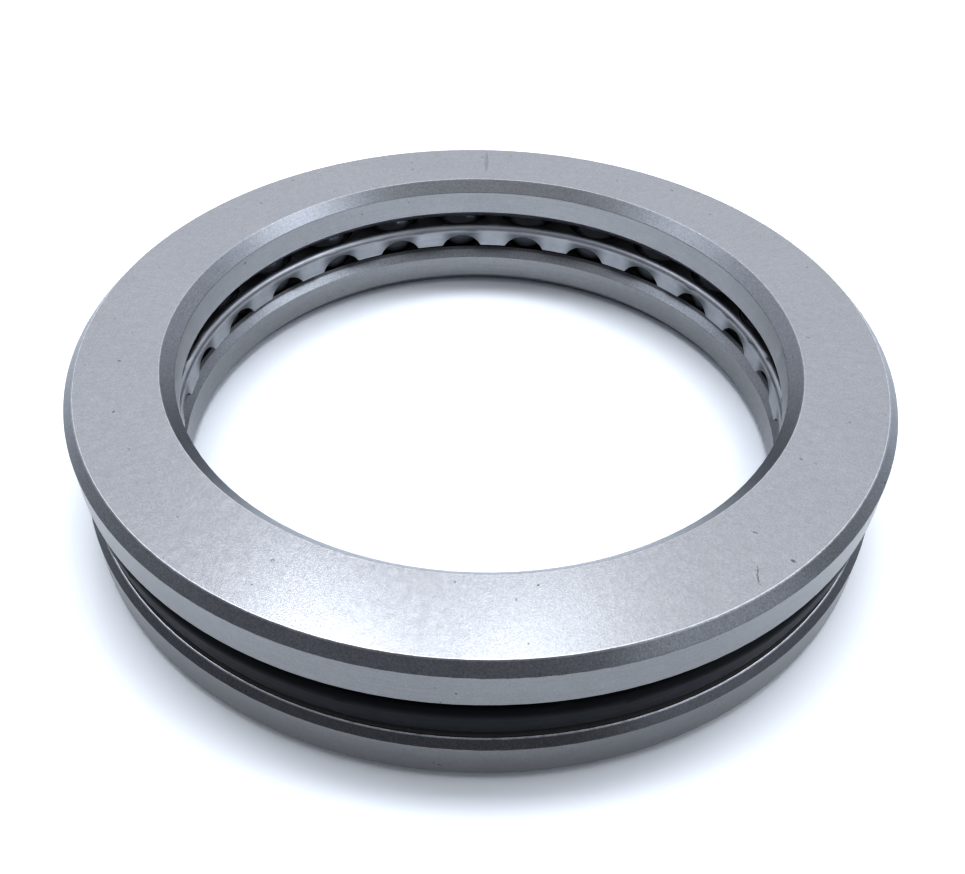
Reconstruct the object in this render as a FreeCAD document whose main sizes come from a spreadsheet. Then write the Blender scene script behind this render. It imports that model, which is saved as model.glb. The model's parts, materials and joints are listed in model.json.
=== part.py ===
"""Single-direction thrust ball bearing, 90 x 120 x 22 mm.

A housing washer lies below and a shaft washer above. Between their grooves roll the balls,
spaced by a pressed steel cage: an inverted channel with a spherical pocket for each ball.

Frame: origin at the centre of the housing washer's seat face, on the bearing's axis.
+Z points from the housing washer to the shaft washer. Units are millimetres and degrees.
"""
import FreeCAD, Part
import Sketcher
import math
import os

# alias, value, meaning
SIZES = (
    ("bearing_height", 22.0, "seat face to seat face"),
    ("outer_diameter", 120.0, "outside of the housing washer"),
    ("shaft_washer_diameter", 119.7, "outside of the shaft washer"),
    ("shaft_bore", 90.0, "bore of the shaft washer"),
    ("housing_bore", 92.0, "bore of the housing washer, which clears the shaft"),
    ("washer_thickness", 7.45, "seat face to the flat beside the groove"),
    ("outer_seat_chamfer", 1.4, "outside of a washer, at its seat face"),
    ("bore_seat_chamfer", 1.8, "bore of a washer, at its seat face"),
    ("outer_rim_chamfer", 1.0, "outside of a washer, beside the gap"),
    ("bore_rim_chamfer", 1.6, "bore of a washer, beside the gap"),
    ("edge_break", 0.15, "rounding that tumbling leaves on every turned edge"),
    ("pitch_diameter", 105.0, "circle through the ball centres"),
    ("ball_count", 24, "balls, pockets and windows"),
    ("ball_diameter", 11.906, "15/32 inch balls"),
    ("ball_play", 0.01, "between an unloaded ball and each groove"),
    ("groove_radius", 6.43, "groove section, 54 % of the ball diameter"),
    ("sheet_metal", 0.7, "thickness of the cage"),
    ("cage_bore", 91.2, "inside of the cage's inner flange"),
    ("cage_top", 12.8, "height of the top of the cage's flat web"),
    ("fold_radius", 1.1, "outside radius where the web folds into a flange"),
    ("inner_flange_edge", 8.8, "height of the inner flange's lower edge"),
    ("flange_curl", 26.0, "angle that the outer flange curls in under the balls"),
    ("pocket_play", 0.147, "between a ball and its pocket"),
    ("window_radius", 4.1, "arched window of the inner flange, one at each ball"),
    ("window_top", 11.0, "height of the crown of the arched window"),
    ("cage_phase", 5.6, "where the first ball stands at rest, from +X"),
)

START, END, CENTRE = 1, 2, 3    # how a constraint numbers the points of a sketch edge
SKETCH_ORIGIN = (-1, START)
SKETCH_VERTICAL = -2
UP = FreeCAD.Vector(0, 0, 1)

doc = FreeCAD.newDocument("thrust_ball_bearing")
sheet = doc.addObject("Spreadsheet::Sheet", "Sizes")
for row, (alias, value, meaning) in enumerate(SIZES, start=1):
    sheet.set("A%d" % row, alias)
    sheet.set("B%d" % row, str(value))
    sheet.set("C%d" % row, meaning)
    sheet.setAlias("B%d" % row, alias)
doc.recompute()


def expand(formula):
    """In the formulas below, each $word is a cell of the sheet."""
    return formula.replace("$", "<<Sizes>>.")


def bind(item, prop, formula):
    item.setExpression(prop, expand(formula))


def value(formula):
    return float(sheet.evalExpression(expand(formula)))


# ------------------------------------------------------------------ sketches

def new_body(name):
    body = doc.addObject("PartDesign::Body", name)
    body.Label = name
    return body


def origin_feature(body, role):
    return next(item for item in body.Origin.OriginFeatures if item.Role == role)


def new_sketch(body, name, plane="XZ_Plane"):
    """A sketch on an origin plane. On XZ_Plane its x is the radius and its y the height."""
    sketch = body.newObject("Sketcher::SketchObject", name)
    sketch.AttachmentSupport = [(origin_feature(body, plane), "")]
    sketch.MapMode = "FlatFace"
    return sketch


def point(x, y):
    """A point of a sketch, from two formulas."""
    return FreeCAD.Vector(value(x), value(y), 0)


def line(start, end):
    return Part.LineSegment(start, end)


def circle(centre, radius):
    return Part.Circle(centre, UP, value(radius))


def arc(centre, radius, start, end):
    """An arc that runs anticlockwise from one angle to the other, in degrees."""
    return Part.ArcOfCircle(circle(centre, radius), math.radians(start), math.radians(end))


def constrain(sketch, kind, *places):
    return sketch.addConstraint(Sketcher.Constraint(kind, *places))


def locate(sketch, place, x=None, y=None):
    """Dimension one point of a sketch from the sketch's origin, by formula."""
    for kind, letter, formula in (("DistanceX", "x", x), ("DistanceY", "y", y)):
        if formula:
            index = constrain(sketch, kind, *SKETCH_ORIGIN, *place, value(formula))
            name = "edge_%d_point_%d_%s" % (place[0], place[1], letter)
            sketch.renameConstraint(index, name)
            bind(sketch, "Constraints." + name, formula)


def set_radius(sketch, edge, formula):
    index = constrain(sketch, "Radius", edge, value(formula))
    name = "edge_%d_radius" % edge
    sketch.renameConstraint(index, name)
    bind(sketch, "Constraints." + name, formula)


def join(sketch, first, second, kind="Coincident"):
    """Hold two edges together at the end that they share. Kind Tangent keeps them smooth there."""
    for one in (START, END):
        for other in (START, END):
            gap = sketch.getPoint(first, one).distanceToPoint(sketch.getPoint(second, other))
            if gap < 1e-6:
                constrain(sketch, kind, first, one, second, other)
                return
    raise RuntimeError("edges %d and %d of %s do not meet" % (first, second, sketch.Name))


def polygon(sketch, corners):
    """A closed outline through corners that are given as pairs of formulas."""
    count = len(corners)
    for index, corner in enumerate(corners):
        sketch.addGeometry(line(point(*corner), point(*corners[(index + 1) % count])))
    for index, (x, y) in enumerate(corners):
        join(sketch, index, (index + 1) % count)
        locate(sketch, (index, START), x, y)


def round_corners(sketch, count, radius):
    """Round the corners of a polygon, each with its own tangent arc."""
    for corner in range(count):
        arc_index = sketch.GeometryCount
        sketch.fillet(corner, START, value(radius), True, True)
        set_radius(sketch, arc_index, radius)


# ------------------------------------------------------------------ features

def turn(body, kind, name, sketch):
    """A full-turn Revolution or Groove about the sketch's own vertical axis."""
    feature = body.newObject("PartDesign::" + kind, name)
    feature.Profile = sketch
    feature.ReferenceAxis = (sketch, ["V_Axis"])
    feature.Angle = 360
    doc.recompute()
    return feature


def must_cut(feature, volume_before):
    """A cut that misses the solid shows no error, so its volume is compared."""
    if feature.Shape.Volume > volume_before - 1.0:
        raise RuntimeError(feature.Name + " cut nothing")


# ------------------------------------------------------------------ washers

def washer(name, diameter, bore, seat, side):
    """A turned and ground washer. Its seat is at height seat, and its groove faces side (+1 or -1)."""
    body = new_body(name)
    outside = diameter + " / 2"
    inside = bore + " / 2"
    land = "%s + %d * $washer_thickness" % (seat, side)

    section = new_sketch(body, name + "_section")
    corners = (
        (inside + " + $bore_seat_chamfer", seat),
        (outside + " - $outer_seat_chamfer", seat),
        (outside, "%s + %d * $outer_seat_chamfer" % (seat, side)),
        (outside, "%s - %d * $outer_rim_chamfer" % (land, side)),
        (outside + " - $outer_rim_chamfer", land),
        (inside + " + $bore_rim_chamfer", land),
        (inside, "%s - %d * $bore_rim_chamfer" % (land, side)),
        (inside, "%s + %d * $bore_seat_chamfer" % (seat, side)),
    )
    polygon(section, corners)
    round_corners(section, len(corners), "$edge_break")
    blank = turn(body, "Revolution", name + "_blank", section)

    groove_section = new_sketch(body, name + "_groove_section")
    reach = "($ball_diameter / 2 + $ball_play - $groove_radius)"
    centre = ("$pitch_diameter / 2", "$bearing_height / 2 - %d * %s" % (side, reach))
    groove_section.addGeometry(circle(point(*centre), "$groove_radius"))
    locate(groove_section, (0, CENTRE), *centre)
    set_radius(groove_section, 0, "$groove_radius")
    must_cut(turn(body, "Groove", name + "_groove", groove_section), blank.Shape.Volume)
    return body


# ------------------------------------------------------------------ cage

def cage_section(body):
    """The pressed channel: inner flange, web, and an outer flange that curls in under the balls."""
    bore = "$cage_bore / 2"
    lining = bore + " + $sheet_metal"
    hug = "$ball_diameter / 2 + $pocket_play"
    outer_hug = hug + " + $sheet_metal"
    ball = ("$pitch_diameter / 2", "$bearing_height / 2")
    outer_lining_x = "%s + %s" % (ball[0], hug)
    outside = "%s + %s" % (ball[0], outer_hug)
    fold_height = "$cage_top - $fold_radius"
    inner_fold = (bore + " + $fold_radius", fold_height)
    outer_fold = (outside + " - $fold_radius", fold_height)
    inside_fold = "$fold_radius - $sheet_metal"
    underside = "$cage_top - $sheet_metal"
    curl = value("$flange_curl")

    def on_curl(radius):
        """Where the outer flange's lower end meets the arc of this radius about the ball."""
        return (
            "%s + (%s) * cos($flange_curl)" % (ball[0], radius),
            "%s - (%s) * sin($flange_curl)" % (ball[1], radius),
        )

    outline = (
        line(point(bore, "$inner_flange_edge"), point(bore, fold_height)),
        arc(point(*inner_fold), "$fold_radius", 90, 180),
        line(point(inner_fold[0], "$cage_top"), point(outer_fold[0], "$cage_top")),
        arc(point(*outer_fold), "$fold_radius", 0, 90),
        line(point(outside, fold_height), point(outside, ball[1])),
        arc(point(*ball), outer_hug, -curl, 0),
        line(point(*on_curl(outer_hug)), point(*on_curl(hug))),
        arc(point(*ball), hug, -curl, 0),
        line(point(outer_lining_x, ball[1]), point(outer_lining_x, fold_height)),
        arc(point(*outer_fold), inside_fold, 0, 90),
        line(point(outer_fold[0], underside), point(inner_fold[0], underside)),
        arc(point(*inner_fold), inside_fold, 90, 180),
        line(point(lining, fold_height), point(lining, "$inner_flange_edge")),
        line(point(lining, "$inner_flange_edge"), point(bore, "$inner_flange_edge")),
    )
    (bore_side, inner_bend, web_top, outer_bend, outer_side, curl_outside, curl_edge,
     curl_inside, outer_lining, outer_bend_inside, web_underside, inner_bend_inside,
     inner_lining, lower_edge) = range(len(outline))

    sketch = new_sketch(body, "cage_section")
    for edge in outline:
        sketch.addGeometry(edge)
    sharp = (curl_outside, curl_edge, inner_lining, lower_edge)
    for index in range(len(outline)):
        kind = "Coincident" if index in sharp else "Tangent"
        join(sketch, index, (index + 1) % len(outline), kind)
    for edge in (bore_side, outer_side, inner_lining):
        constrain(sketch, "Vertical", edge)
    for edge in (web_top, lower_edge):
        constrain(sketch, "Horizontal", edge)
    constrain(sketch, "Coincident", inner_bend, CENTRE, inner_bend_inside, CENTRE)
    constrain(sketch, "Coincident", outer_bend, CENTRE, outer_bend_inside, CENTRE)
    constrain(sketch, "Coincident", curl_outside, CENTRE, curl_inside, CENTRE)
    constrain(sketch, "PointOnObject", curl_outside, CENTRE, curl_edge)
    constrain(sketch, "Equal", inner_bend, outer_bend)
    constrain(sketch, "Equal", inner_bend_inside, outer_bend_inside)
    set_radius(sketch, inner_bend, "$fold_radius")
    set_radius(sketch, inner_bend_inside, inside_fold)
    set_radius(sketch, curl_outside, outer_hug)
    set_radius(sketch, curl_inside, hug)
    locate(sketch, (curl_inside, CENTRE), *ball)
    locate(sketch, (bore_side, START), bore, "$inner_flange_edge")
    locate(sketch, (web_top, START), y="$cage_top")
    locate(sketch, (curl_edge, END), y=on_curl(hug)[1])
    return sketch


def ball_pocket(body):
    """One spherical pocket through the web, at the +X side."""
    sketch = new_sketch(body, "pocket_section")
    bind(sketch, "AttachmentOffset.Base.x", "$pitch_diameter / 2")
    bind(sketch, "AttachmentOffset.Base.y", "$bearing_height / 2")
    radius = "$ball_diameter / 2 + $pocket_play"
    sketch.addGeometry(arc(point("0", "0"), radius, -90, 90))
    sketch.addGeometry(line(point("0", radius), point("0", "-(%s)" % radius)))
    constrain(sketch, "Coincident", 0, START, 1, END)
    constrain(sketch, "Coincident", 0, END, 1, START)
    constrain(sketch, "Coincident", 0, CENTRE, *SKETCH_ORIGIN)
    constrain(sketch, "Vertical", 1)
    set_radius(sketch, 0, radius)
    return turn(body, "Groove", "ball_pocket", sketch)


def flange_window(body):
    """One arched window through the inner flange, at the +X side. It is open at the bottom."""
    sketch = new_sketch(body, "window_outline", "YZ_Plane")
    height = "$window_top - $window_radius"
    sketch.addGeometry(circle(point("0", height), "$window_radius"))
    constrain(sketch, "PointOnObject", 0, CENTRE, SKETCH_VERTICAL)
    set_radius(sketch, 0, "$window_radius")
    locate(sketch, (0, CENTRE), y=height)
    window = body.newObject("PartDesign::Pocket", "flange_window")
    window.Profile = sketch
    window.Reversed = True
    bind(window, "Length", "$pitch_diameter / 2")
    doc.recompute()
    return window


def build_cage():
    body = new_body("cage")
    channel = turn(body, "Revolution", "channel", cage_section(body))
    pocket = ball_pocket(body)
    must_cut(pocket, channel.Shape.Volume)
    window = flange_window(body)
    must_cut(window, pocket.Shape.Volume)
    ring = body.newObject("PartDesign::PolarPattern", "pockets_and_windows")
    ring.Originals = [pocket, window]
    ring.Axis = (origin_feature(body, "Z_Axis"), [""])
    ring.Angle = 360
    bind(ring, "Occurrences", "$ball_count")
    body.Tip = ring
    doc.recompute()
    must_cut(ring, window.Shape.Volume)
    bind(body, "Placement", "placement(vector(0; 0; 0); rotation(vector(0; 0; 1); $cage_phase))")
    return body


# ------------------------------------------------------------------ balls

def build_ball(number):
    """One ball, resting in the housing washer's groove at its place in the cage."""
    ball = doc.addObject("Part::Sphere", "ball_%02d" % number)
    ball.Label = ball.Name
    bind(ball, "Radius", "$ball_diameter / 2")
    angle = "($cage_phase + %d * 360 / $ball_count)" % (number - 1)
    bind(ball, "Placement.Base.x", "$pitch_diameter / 2 * cos(%s)" % angle)
    bind(ball, "Placement.Base.y", "$pitch_diameter / 2 * sin(%s)" % angle)
    bind(ball, "Placement.Base.z", "$bearing_height / 2")
    return ball


housing_washer = washer("housing_washer", "$outer_diameter", "$housing_bore", "0", +1)
shaft_washer = washer("shaft_washer", "$shaft_washer_diameter", "$shaft_bore", "$bearing_height", -1)
cage = build_cage()
balls = [build_ball(number) for number in range(1, int(value("$ball_count")) + 1)]
doc.recompute()

for item in doc.Objects:
    if "Invalid" in item.State or "Error" in item.State:
        raise RuntimeError("%s is %s" % (item.Name, item.State))

os.makedirs("parts", exist_ok=True)
pieces = [housing_washer, shaft_washer, cage] + balls
for piece in pieces:
    shape = piece.Shape
    if shape.isNull() or not shape.isValid() or len(shape.Solids) != 1:
        raise RuntimeError(piece.Label + " is not one valid solid")
for piece in pieces:
    piece.Shape.exportStep("parts/%s.step" % piece.Label)
    print("%-16s %10.2f mm3" % (piece.Label, piece.Shape.Volume))
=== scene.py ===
"""The looks of a thrust ball bearing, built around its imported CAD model.

Lengths are metres and angles are degrees, in the CAD model's own frame: +Z is the bearing's
axis, and the housing washer stands on the floor at height 0.
"""
import json
import math

import bpy
from mathutils import Matrix, Vector


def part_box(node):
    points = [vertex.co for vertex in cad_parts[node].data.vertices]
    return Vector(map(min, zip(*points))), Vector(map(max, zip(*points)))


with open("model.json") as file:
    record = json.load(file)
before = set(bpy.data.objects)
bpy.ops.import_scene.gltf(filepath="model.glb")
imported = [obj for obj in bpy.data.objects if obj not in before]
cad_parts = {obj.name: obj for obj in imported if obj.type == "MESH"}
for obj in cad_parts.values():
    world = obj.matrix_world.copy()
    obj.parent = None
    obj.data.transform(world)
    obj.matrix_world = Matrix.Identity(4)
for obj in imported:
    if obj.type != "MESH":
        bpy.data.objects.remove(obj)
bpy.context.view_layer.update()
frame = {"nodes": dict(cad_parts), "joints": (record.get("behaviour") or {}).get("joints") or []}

MM = 0.001
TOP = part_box("shaft_washer")[1].z
OUTER_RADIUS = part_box("housing_washer")[1].x
SHAFT_WASHER_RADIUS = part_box("shaft_washer")[1].x
BORE_RADIUS = 45 * MM
SEAT_CHAMFER, RIM_CHAMFER, BORE_CHAMFER = 1.4 * MM, 1.0 * MM, 1.8 * MM
CAGE_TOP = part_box("cage")[1].z
BALL_COUNT = sum(node.startswith("ball_") for node in frame["nodes"])
first_ball = next(joint["pos_m"] for joint in frame["joints"] if joint["child"] == "ball_01")
PITCH_RADIUS = math.hypot(first_ball[0], first_ball[1])
FIRST_BALL = math.atan2(first_ball[1], first_ball[0])
SEAT_INNER_RADIUS = BORE_RADIUS + BORE_CHAMFER
SEAT_WIDTH = SHAFT_WASHER_RADIUS - SEAT_CHAMFER - SEAT_INNER_RADIUS

# The space between the washers where their faces get painted shade: its radii, and how far it stays
# below each seat face.
SHADE_INNER_RADIUS, SHADE_OUTER_RADIUS = BORE_RADIUS + 2.2 * MM, OUTER_RADIUS - 1.3 * MM
SHADE_FACE_DEPTH = 2 * MM

# Noise strays about a fifth from its middle, so this gain spreads it from -1 to 1.
NOISE_GAIN = 5.0
# Steps that spread the seat's specks evenly: degrees around, and a fraction of the way across.
GOLDEN_ANGLE, GOLDEN_FRACTION = 137.5, 0.618
SPECK_COUNT = 9

SATIN_LIGHT = (0.462, 0.468, 0.478, 1)
SATIN_DARK = (0.428, 0.434, 0.446, 1)
TURNED = (0.430, 0.446, 0.476, 1)
MARK_BROWN = (0.08, 0.077, 0.078, 1)
# Painted shade: the balls are near black, as they sit in shade between the washers.
BALL_SHADE_LIGHT = (0.10, 0.105, 0.115, 1)
BALL_SHADE_DARK = (0.06, 0.064, 0.072, 1)
SHEET_LIGHT = (0.42, 0.43, 0.45, 1)
SHEET_DARK = (0.30, 0.31, 0.33, 1)
# Painted shade for the cage's outer side, in the gap between the washers.
GAP_SHADE_BLACK = (0.010, 0.013, 0.018, 1)
PALE_PAPER = (0.905, 0.93, 0.96, 1)
COOL_LAMP = (0.965, 1.0, 1.055)
COOL_SKY = (0.972, 0.996, 1.065, 1)
NEUTRAL_SKY = (1.0, 1.0, 1.0, 1)


# ------------------------------------------------------------------ node building

class Nodes:
    """A short way to write node trees: each method adds one node and returns its output."""

    def __init__(self, tree):
        self.tree = tree
        tree.nodes.clear()

    def add(self, kind, **settings):
        item = self.tree.nodes.new(kind)
        for name, setting in settings.items():
            setattr(item, name, setting)
        return item

    def feed(self, socket, source):
        """Give an input socket a link or a constant."""
        if isinstance(source, bpy.types.NodeSocket):
            self.tree.links.new(source, socket)
        else:
            socket.default_value = source

    def math(self, operation, first, second=0.0, clamp=False):
        item = self.add("ShaderNodeMath", operation=operation, use_clamp=clamp)
        for socket, source in zip(item.inputs, (first, second)):
            self.feed(socket, source)
        return item.outputs[0]

    def total(self, *parts):
        result = parts[0]
        for part in parts[1:]:
            result = self.math("ADD", result, part)
        return result

    def product(self, *parts):
        result = parts[0]
        for part in parts[1:]:
            result = self.math("MULTIPLY", result, part)
        return result

    def inverse(self, mask):
        return self.math("SUBTRACT", 1.0, mask)

    def ramp(self, value, low, high, bottom=0.0, top=1.0):
        """A smooth step: bottom below low, top above high."""
        item = self.add("ShaderNodeMapRange", interpolation_type="SMOOTHSTEP")
        for socket, source in zip(item.inputs, (value, low, high, bottom, top)):
            self.feed(socket, source)
        return item.outputs[0]

    def blend(self, factor, first, second):
        """Linear mix of two numbers."""
        item = self.add("ShaderNodeMix", data_type="FLOAT")
        self.feed(item.inputs["Factor"], factor)
        self.feed(item.inputs[2], first)
        self.feed(item.inputs[3], second)
        return item.outputs[0]

    def blend_colour(self, factor, first, second, kind="MIX"):
        item = self.add("ShaderNodeMix", data_type="RGBA", blend_type=kind)
        self.feed(item.inputs["Factor"], factor)
        self.feed(item.inputs[6], first)
        self.feed(item.inputs[7], second)
        return item.outputs[2]

    def split(self, vector):
        item = self.add("ShaderNodeSeparateXYZ")
        self.feed(item.inputs[0], vector)
        return item.outputs

    def vector(self, x, y, z):
        item = self.add("ShaderNodeCombineXYZ")
        for socket, source in zip(item.inputs, (x, y, z)):
            self.feed(socket, source)
        return item.outputs[0]

    def noise(self, vector, size, detail=2.0, roughness=0.5):
        """Noise whose features are about size metres across."""
        item = self.add("ShaderNodeTexNoise")
        self.feed(item.inputs["Vector"], vector)
        self.feed(item.inputs["Scale"], 1.0 / size)
        self.feed(item.inputs["Detail"], detail)
        self.feed(item.inputs["Roughness"], roughness)
        return item.outputs["Fac"]

    def bump(self, height, depth, below=None):
        item = self.add("ShaderNodeBump")
        self.feed(item.inputs["Height"], height)
        self.feed(item.inputs["Distance"], depth)
        self.feed(item.inputs["Strength"], 1.0)
        if below is not None:
            self.feed(item.inputs["Normal"], below)
        return item.outputs[0]


class Steel(Nodes):
    """A steel material, with the places and directions that its finishes are laid out by."""

    def __init__(self, name):
        self.material = bpy.data.materials.new(name)
        self.material.use_nodes = True
        super().__init__(self.material.node_tree)
        place = self.add("ShaderNodeTexCoord")
        self.place = place.outputs["Object"]
        self.x, self.y, self.z = self.split(self.place)
        self.radius = self.math("POWER", self.total(
            self.product(self.x, self.x), self.product(self.y, self.y)), 0.5)
        self.facing_up = self.math("ABSOLUTE", self.split(place.outputs["Normal"])[2])
        self.shader = self.add("ShaderNodeBsdfPrincipled")
        self.shader.inputs["Metallic"].default_value = 1.0
        output = self.add("ShaderNodeOutputMaterial")
        self.tree.links.new(self.shader.outputs[0], output.inputs["Surface"])

    def drawn(self, around, across):
        """Noise in rings: features this long around the axis and this wide across the section."""
        turn = PITCH_RADIUS / around
        return self.noise(self.vector(
            self.product(self.math("DIVIDE", self.x, self.radius), turn),
            self.product(self.math("DIVIDE", self.y, self.radius), turn),
            self.product(self.total(self.z, self.radius), 1.0 / across),
        ), 1.0, 3.0, 0.6)

    def between(self, value, low, high, fade):
        """1 where a value lies between two limits, fading to 0 outside them."""
        return self.product(
            self.ramp(value, low - fade, low), self.ramp(value, high, high + fade, 1.0, 0.0)
        )

    def uneven(self, mask, amount):
        """A multiplier that varies by about amount, up and down, with a noise mask."""
        return self.total(
            1.0 - amount * NOISE_GAIN / 2, self.product(mask, amount * NOISE_GAIN))

    def toned(self, colour, *tones):
        """A colour times a product of numbers."""
        tone = self.product(*tones)
        return self.blend_colour(1.0, colour, self.vector(tone, tone, tone), "MULTIPLY")

    def mark(self, shift, azimuth, across, length, width, slant):
        """A small mark on the upper seat, its outline made ragged by a shift of x and y.

        Its azimuth is from +X towards +Y, across runs from 0 at the bore to 1 at the rim, and
        slant turns its length from the radial direction.
        """
        place, heading = math.radians(azimuth), math.radians(azimuth + slant)
        radius = SEAT_INNER_RADIUS + across * SEAT_WIDTH
        east = self.math("SUBTRACT", self.total(self.x, shift), radius * math.cos(place))
        north = self.math("SUBTRACT", self.math("SUBTRACT", self.y, shift), radius * math.sin(place))
        cosine, sine = math.cos(heading), math.sin(heading)
        along = self.product(self.total(
            self.product(east, cosine), self.product(north, sine)), 2 / length)
        aside = self.product(self.total(
            self.product(north, cosine), self.product(east, -sine)), 2 / width)
        reach = self.total(self.product(along, along), self.product(aside, aside))
        return self.ramp(reach, 0.3, 1.0, 1.0, 0.0)

    def finish(self, colour, roughness, normal):
        self.feed(self.shader.inputs["Base Color"], colour)
        self.feed(self.shader.inputs["Roughness"], roughness)
        self.feed(self.shader.inputs["Normal"], normal)
        return self.material


# ------------------------------------------------------------------ steels

def seat_marks(steel):
    """How dark the marks of use on the upper seat are: scratch, dents, smudge, scattered specks."""
    wander = steel.noise(steel.place, 0.5 * MM, 2.0, 0.6)
    shift = steel.product(steel.math("SUBTRACT", wander, 0.5), 0.9 * MM)
    scratch = steel.mark(shift, 305, 0.8, 3.5 * MM, 0.3 * MM, -40)
    dent_near_bore = steel.mark(shift, 310, 0.4, 1.0 * MM, 0.4 * MM, 20)
    dent_near_rim = steel.mark(shift, 310, 0.9, 0.6 * MM, 0.5 * MM, 0)
    smudge = steel.mark(shift, 90, 0.6, 9.0 * MM, 0.9 * MM, 0)
    marks = steel.total(
        steel.product(scratch, 0.6),
        steel.product(dent_near_bore, 0.6),
        steel.product(dent_near_rim, 0.75),
        steel.product(smudge, 0.25),
    )
    for index in range(SPECK_COUNT):
        across = 0.15 + 0.7 * (index * GOLDEN_FRACTION % 1.0)
        speck = steel.mark(shift, index * GOLDEN_ANGLE, across, 0.6 * MM, 0.4 * MM, 0)
        marks = steel.total(marks, steel.product(speck, 0.45))
    return marks


def ground_steel(name, highlight_edges, wall_shade, chamfer_shade, marked=False):
    """A washer: satin ground seat, ground walls, turned chamfers, painted shade inside the bearing.

    highlight_edges are the radii where a flat face ends in a painted highlight line, each with its
    shine. wall_shade and chamfer_shade are painted shade that darkens the wall and the chamfer on
    the washer's outside. A marked washer carries the marks of use on its upper seat.
    """
    steel = Steel(name)
    flat = steel.ramp(steel.facing_up, 0.90, 0.97)
    wall = steel.inverse(steel.ramp(steel.facing_up, 0.20, 0.40))
    chamfer = steel.math("SUBTRACT", 1.0, steel.total(flat, wall), clamp=True)
    outside = steel.ramp(steel.radius, PITCH_RADIUS, PITCH_RADIUS + 1 * MM)
    # Where the faces inside the bearing, between the washers, get painted shade.
    inside = steel.product(
        steel.between(steel.radius, SHADE_INNER_RADIUS, SHADE_OUTER_RADIUS, 0.2 * MM),
        steel.between(steel.z, SHADE_FACE_DEPTH, TOP - SHADE_FACE_DEPTH, 0.5 * MM),
    )

    satin = steel.noise(steel.place, 0.24 * MM, 2.0, 0.6)
    grain = steel.noise(steel.place, 0.13 * MM, 2.0, 0.7)
    mottle = steel.noise(steel.place, 1.3 * MM, 3.0, 0.6)
    cloud = steel.noise(steel.place, 14 * MM, 3.0, 0.55)
    rings = steel.drawn(9 * MM, 0.16 * MM)
    rays = steel.drawn(0.40 * MM, 3 * MM)
    speck = steel.ramp(steel.noise(steel.place, 0.9 * MM, 1.0, 0.4), 0.79, 0.82)
    # Painted highlight: bright lines where the flat faces end, at the given radii.
    edge_highlight = steel.total(*(
        steel.product(shine, steel.between(
            steel.radius, radius - 0.10 * MM, radius + 0.10 * MM, 0.06 * MM))
        for radius, shine in highlight_edges
    ))
    edge_highlight = steel.product(
        edge_highlight, steel.inverse(wall), steel.ramp(mottle, 0.30, 0.50, 0.6, 1.0))

    colour = steel.blend_colour(cloud, SATIN_LIGHT, SATIN_DARK)
    colour = steel.blend_colour(chamfer, colour, TURNED)
    colour = steel.toned(
        colour,
        steel.uneven(satin, 0.065),
        steel.uneven(grain, 0.045),
        steel.uneven(mottle, 0.03),
        steel.blend(flat, steel.uneven(rings, 0.045), steel.uneven(rays, 0.02)),
        # Painted shade: walls and chamfers darker than the seat, most on the washer's outside.
        steel.blend(steel.product(wall, outside), 1.0, wall_shade),
        steel.blend(steel.product(wall, steel.inverse(outside)), 1.0, 0.76),
        steel.blend(steel.product(chamfer, outside), 1.0, chamfer_shade),
        steel.blend(steel.product(chamfer, steel.inverse(outside)), 1.0, 0.86),
        steel.blend(chamfer, 1.0, steel.uneven(satin, 0.12)),
        steel.blend(steel.product(speck, steel.inverse(inside)), 1.0, 0.55),
        # Painted highlight lines along the flat faces' rims.
        steel.total(1.0, edge_highlight),
        # Painted shade on the faces inside the bearing, between the washers.
        steel.blend(inside, 1.0, 0.45),
    )
    if marked:
        seat = steel.ramp(steel.z, TOP - 1.0 * MM, TOP - 0.5 * MM)
        uneven_grain = steel.ramp(grain, 0.30, 0.55, 0.5, 1.0)
        marks = steel.product(seat_marks(steel), seat, uneven_grain)
        colour = steel.blend_colour(marks, colour, MARK_BROWN)

    roughness = steel.total(
        0.17,
        steel.product(mottle, 0.05),
        steel.product(cloud, 0.04),
        steel.product(rays, flat, 0.05),
        steel.product(chamfer, 0.14),
        steel.product(wall, 0.08),
        steel.product(speck, 0.2),
    )
    normal = steel.bump(satin, 6.5e-6)
    normal = steel.bump(grain, 4.0e-6, normal)
    normal = steel.bump(steel.product(rings, steel.inverse(flat)), 7.0e-6, normal)
    normal = steel.bump(steel.product(rays, flat), 3.0e-6, normal)
    steel.feed(steel.shader.inputs["Metallic"], steel.blend(inside, 1.0, 0.3))
    return steel.finish(colour, roughness, normal)


def polished_steel(name):
    """Balls: lapped steel with hairline scratches, near black in patches of painted shade."""
    steel = Steel(name)
    patches = steel.noise(steel.place, 3.5 * MM, 3.0, 0.6)
    hair = steel.noise(steel.place, 0.25 * MM, 2.0, 0.7)
    colour = steel.blend_colour(patches, BALL_SHADE_LIGHT, BALL_SHADE_DARK)
    roughness = steel.total(0.10, steel.product(patches, 0.14), steel.product(hair, 0.04))
    return steel.finish(colour, roughness, steel.bump(hair, 6.0e-7))


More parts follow.
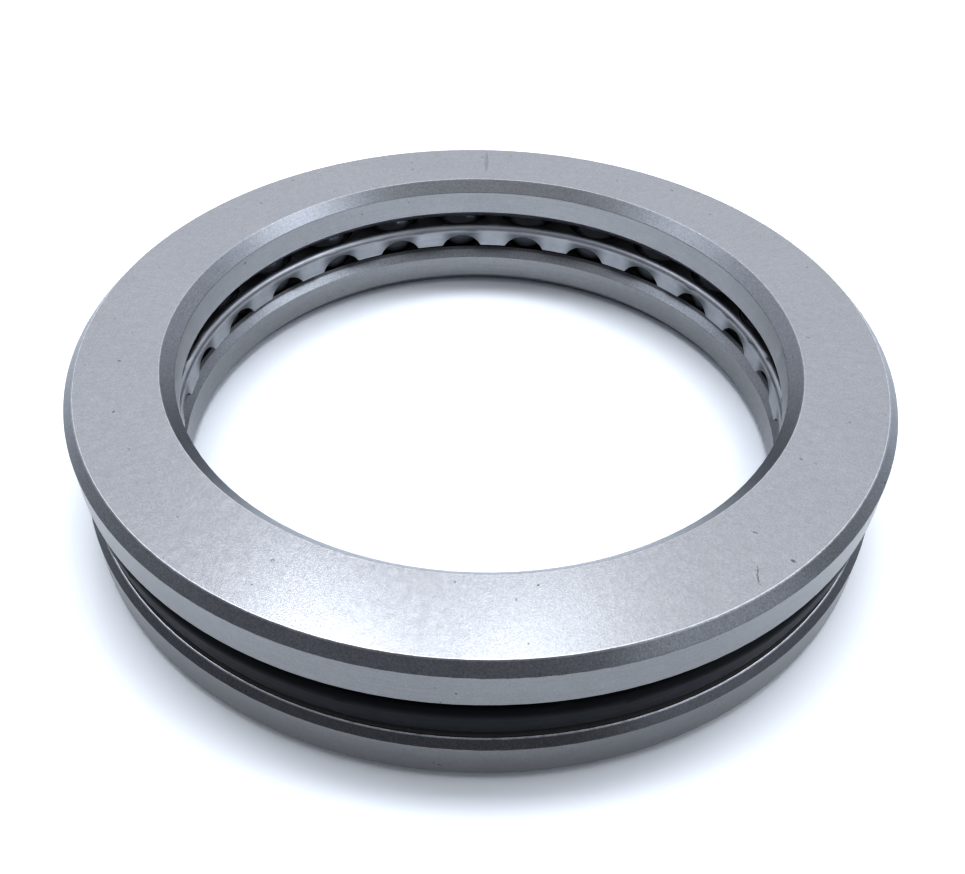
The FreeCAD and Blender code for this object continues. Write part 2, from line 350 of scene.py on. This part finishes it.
def pressed_steel(name):
    """Cage: tumbled sheet steel, with a painted highlight along its top bend.

    Painted shade makes it near black on the outer side, in the gap between the washers, and
    darkens the lower inner flange around each ball pocket.
    """
    steel = Steel(name)
    # Painted shade: near black on the outer side, in the gap between the washers.
    gap_shade = steel.ramp(steel.radius, PITCH_RADIUS + 0.5 * MM, PITCH_RADIUS + 3 * MM)
    cloud = steel.noise(steel.place, 4 * MM, 3.0, 0.6)
    grain = steel.noise(steel.place, 0.25 * MM, 3.0, 0.6)
    rings = steel.drawn(6 * MM, 0.3 * MM)
    turn = steel.math("SUBTRACT", steel.math("ARCTAN2", steel.y, steel.x), FIRST_BALL)
    pocket = steel.math("COSINE", steel.product(turn, float(BALL_COUNT)))
    pocket = steel.math("ADD", pocket, steel.product(cloud, 0.5))
    # Painted shade: the lower inner flange darker around each ball pocket.
    pocket_shade = steel.product(
        steel.ramp(pocket, -0.5, 0.9),
        steel.ramp(steel.z, CAGE_TOP - 1.7 * MM, CAGE_TOP - 0.7 * MM, 1.0, 0.0),
    )
    # Painted highlight along the cage's top bend.
    fold_highlight = steel.ramp(steel.z, CAGE_TOP - 0.9 * MM, CAGE_TOP - 0.4 * MM)
    clean = steel.blend_colour(cloud, SHEET_LIGHT, SHEET_DARK)
    clean = steel.toned(
        clean,
        steel.uneven(grain, 0.03),
        steel.uneven(rings, 0.05),
        steel.blend(pocket_shade, 1.0, 0.42),
        steel.blend(fold_highlight, 1.0, 1.35),
    )
    colour = steel.blend_colour(gap_shade, clean, GAP_SHADE_BLACK)
    steel.feed(steel.shader.inputs["Metallic"], steel.blend(gap_shade, 1.0, 0.1))
    steel.shader.inputs["Specular IOR Level"].default_value = 0.2
    roughness = steel.total(0.30, steel.product(cloud, 0.14), steel.product(gap_shade, 0.05))
    return steel.finish(colour, roughness, steel.bump(grain, 6.0e-6))


def dress(node, material):
    """Put a material in every slot of a CAD node."""
    slots = frame["nodes"][node].data.materials
    if not slots:
        slots.append(material)
    for index in range(len(slots)):
        slots[index] = material


polished = polished_steel("polished_steel")
# Painted highlight lines at the given radii, and painted shade on each washer's outer wall and
# chamfer.
dress("housing_washer", ground_steel(
    "ground_steel_housing_washer", ((OUTER_RADIUS - RIM_CHAMFER, 2.0),), 0.64, 0.36))
dress("shaft_washer", ground_steel(
    "ground_steel_shaft_washer",
    ((SHAFT_WASHER_RADIUS - SEAT_CHAMFER, 0.5), (BORE_RADIUS + BORE_CHAMFER, 0.15)),
    0.61, 0.62, marked=True))
dress("cage", pressed_steel("pressed_steel"))
for node_name in frame["nodes"]:
    if node_name.startswith("ball_"):
        dress(node_name, polished)


# ------------------------------------------------------------------ studio

LAMP_DISTANCE = 1.2


def direction(azimuth, elevation):
    """Unit vector: azimuth from +Y towards +X, elevation above the floor."""
    turn, rise = math.radians(azimuth), math.radians(elevation)
    return Vector((
        math.sin(turn) * math.cos(rise), math.cos(turn) * math.cos(rise), math.sin(rise)
    ))


def softbox(name, azimuth, elevation, width, height, radiance, mirrored=True):
    """A rectangular light that is width by height degrees wide, seen from the bearing.

    A light that is not mirrored stands behind a grid: it lights the floor but shows in no steel.
    """
    light = bpy.data.lights.new(name, "AREA")
    light.shape = "RECTANGLE"
    light.size = 2 * LAMP_DISTANCE * math.tan(math.radians(width / 2))
    light.size_y = 2 * LAMP_DISTANCE * math.tan(math.radians(height / 2))
    light.energy = radiance * math.pi * light.size * light.size_y
    light.color = COOL_LAMP
    item = bpy.data.objects.new(name, light)
    toward = direction(azimuth, elevation)
    item.location = toward * LAMP_DISTANCE
    item.rotation_euler = toward.to_track_quat("Z", "Y").to_euler()
    item.visible_glossy = mirrored
    bpy.context.scene.collection.objects.link(item)


# The room on three sides of the bearing: pairs of elevation and radiance.
SKY_BEHIND = ((0, 0.57), (10, 0.57), (27, 1.0), (40, 1.0), (50, 1.05), (62, 1.1), (90, 1.3))
SKY_BESIDE = ((0, 0.50), (12, 0.45), (30, 0.62), (45, 0.95), (60, 1.2), (90, 1.3))
SKY_IN_FRONT = ((0, 0.45), (12, 0.34), (35, 0.33), (55, 0.42), (68, 0.65), (90, 1.3))
SKY_SCALE = 4.0


def sky_ramp(sky, height, stops):
    ramp = sky.add("ShaderNodeValToRGB")
    points = ramp.color_ramp.elements
    while len(points) < len(stops):
        points.new(0.5)
    for point, (elevation, radiance) in zip(points, stops):
        point.position = math.sin(math.radians(elevation))
        point.color = (radiance / SKY_SCALE,) * 3 + (1,)
    sky.feed(ramp.inputs[0], height)
    return ramp.outputs[0]


def studio_world():
    """A pale room: bright behind and overhead, darker where the photographer stands."""
    world = bpy.data.worlds.new("studio")
    world.use_nodes = True
    bpy.context.scene.world = world
    sky = Nodes(world.node_tree)
    _, y, height = sky.split(sky.add("ShaderNodeTexCoord").outputs["Generated"])
    level = sky.math("SQRT", sky.math("SUBTRACT", 1.0, sky.product(height, height), clamp=True))
    behind = sky.math("DIVIDE", y, sky.math("MAXIMUM", level, 0.001))
    radiance = sky.blend(
        sky.ramp(behind, 0.45, 0.95),
        sky.blend(
            sky.ramp(behind, -0.5, 0.1),
            sky_ramp(sky, height, SKY_IN_FRONT),
            sky_ramp(sky, height, SKY_BESIDE),
        ),
        sky_ramp(sky, height, SKY_BEHIND),
    )
    backdrop = sky.add("ShaderNodeLightPath").outputs["Is Camera Ray"]
    shade = sky.add("ShaderNodeBackground")
    sky.feed(shade.inputs["Strength"], sky.blend(backdrop, sky.product(radiance, SKY_SCALE), 1.0))
    overhead = sky.ramp(height, 0.75, 0.95)
    sky.feed(shade.inputs["Color"], sky.blend_colour(overhead, COOL_SKY, NEUTRAL_SKY))
    output = sky.add("ShaderNodeOutputWorld")
    sky.tree.links.new(shade.outputs[0], output.inputs["Surface"])


def floor():
    """A round sheet of pale paper that ends while the lamps still light it white."""
    reach, height, corner_count = 0.8, -0.02 * MM, 96
    turns = [2 * math.pi * index / corner_count for index in range(corner_count)]
    corners = [(reach * math.cos(turn), reach * math.sin(turn), height) for turn in turns]
    mesh = bpy.data.meshes.new("floor")
    mesh.from_pydata(corners, [], [range(corner_count)])
    item = bpy.data.objects.new("floor", mesh)
    bpy.context.scene.collection.objects.link(item)
    paper = bpy.data.materials.new("pale_paper")
    paper.use_nodes = True
    shader = paper.node_tree.nodes["Principled BSDF"]
    shader.inputs["Base Color"].default_value = PALE_PAPER
    shader.inputs["Roughness"].default_value = 0.9
    shader.inputs["Specular IOR Level"].default_value = 0.0
    mesh.materials.append(paper)


# Where the camera stands, and how its look is turned away from the middle of the upper seat.
CAMERA_DISTANCE = 2.478 * OUTER_RADIUS
CAMERA_ELEVATION = math.radians(36.28)
CAMERA_YAW = math.radians(0.113)
CAMERA_PITCH = math.radians(-6.134)
CAMERA_ROLL = math.radians(1.341)


def camera():
    """A camera held close in front of the bearing and looking down on it."""
    focus = Vector((0, 0, TOP))
    place = CAMERA_DISTANCE * Vector((
        0, -math.cos(CAMERA_ELEVATION), math.sin(CAMERA_ELEVATION)
    ))
    ahead = -place.normalized()
    right = Vector((1, 0, 0))
    up = right.cross(ahead)
    level = ahead * math.cos(CAMERA_YAW) + right * math.sin(CAMERA_YAW)
    look = level * math.cos(CAMERA_PITCH) + up * math.sin(CAMERA_PITCH)
    right = look.cross(Vector((0, 0, 1))).normalized()
    up = right.cross(look)
    tilted_right = right * math.cos(CAMERA_ROLL) + up * math.sin(CAMERA_ROLL)
    tilted_up = up * math.cos(CAMERA_ROLL) - right * math.sin(CAMERA_ROLL)
    lens = bpy.data.cameras.new("camera")
    lens.sensor_fit = "HORIZONTAL"
    lens.sensor_width = 36.0
    lens.lens = 37.0
    lens.clip_start = 0.01
    item = bpy.data.objects.new("camera", lens)
    axes = Matrix((tilted_right, tilted_up, -look)).transposed().to_4x4()
    item.matrix_world = Matrix.Translation(focus + place) @ axes
    bpy.context.scene.collection.objects.link(item)
    bpy.context.scene.camera = item


studio_world()
softbox("lamp_left", -19, 62, 4, 15, 5.6)
softbox("lamp_right", 6.5, 62, 9, 16, 1.6)
softbox("overhead", 0, 81, 44, 12, 10.0, mirrored=False)
softbox("window_right", 93, 47, 26, 22, 1.6)
softbox("side_right", 114, 25, 22, 14, 1.1)
softbox("window_left", -86, 49, 22, 18, 0.95)
softbox("far_lamp", 135, 29, 8, 8, 4.0)
floor()
camera()
view = bpy.context.scene.view_settings
view.view_transform = "Standard"
view.exposure = 0.26
view.gamma = 0.714
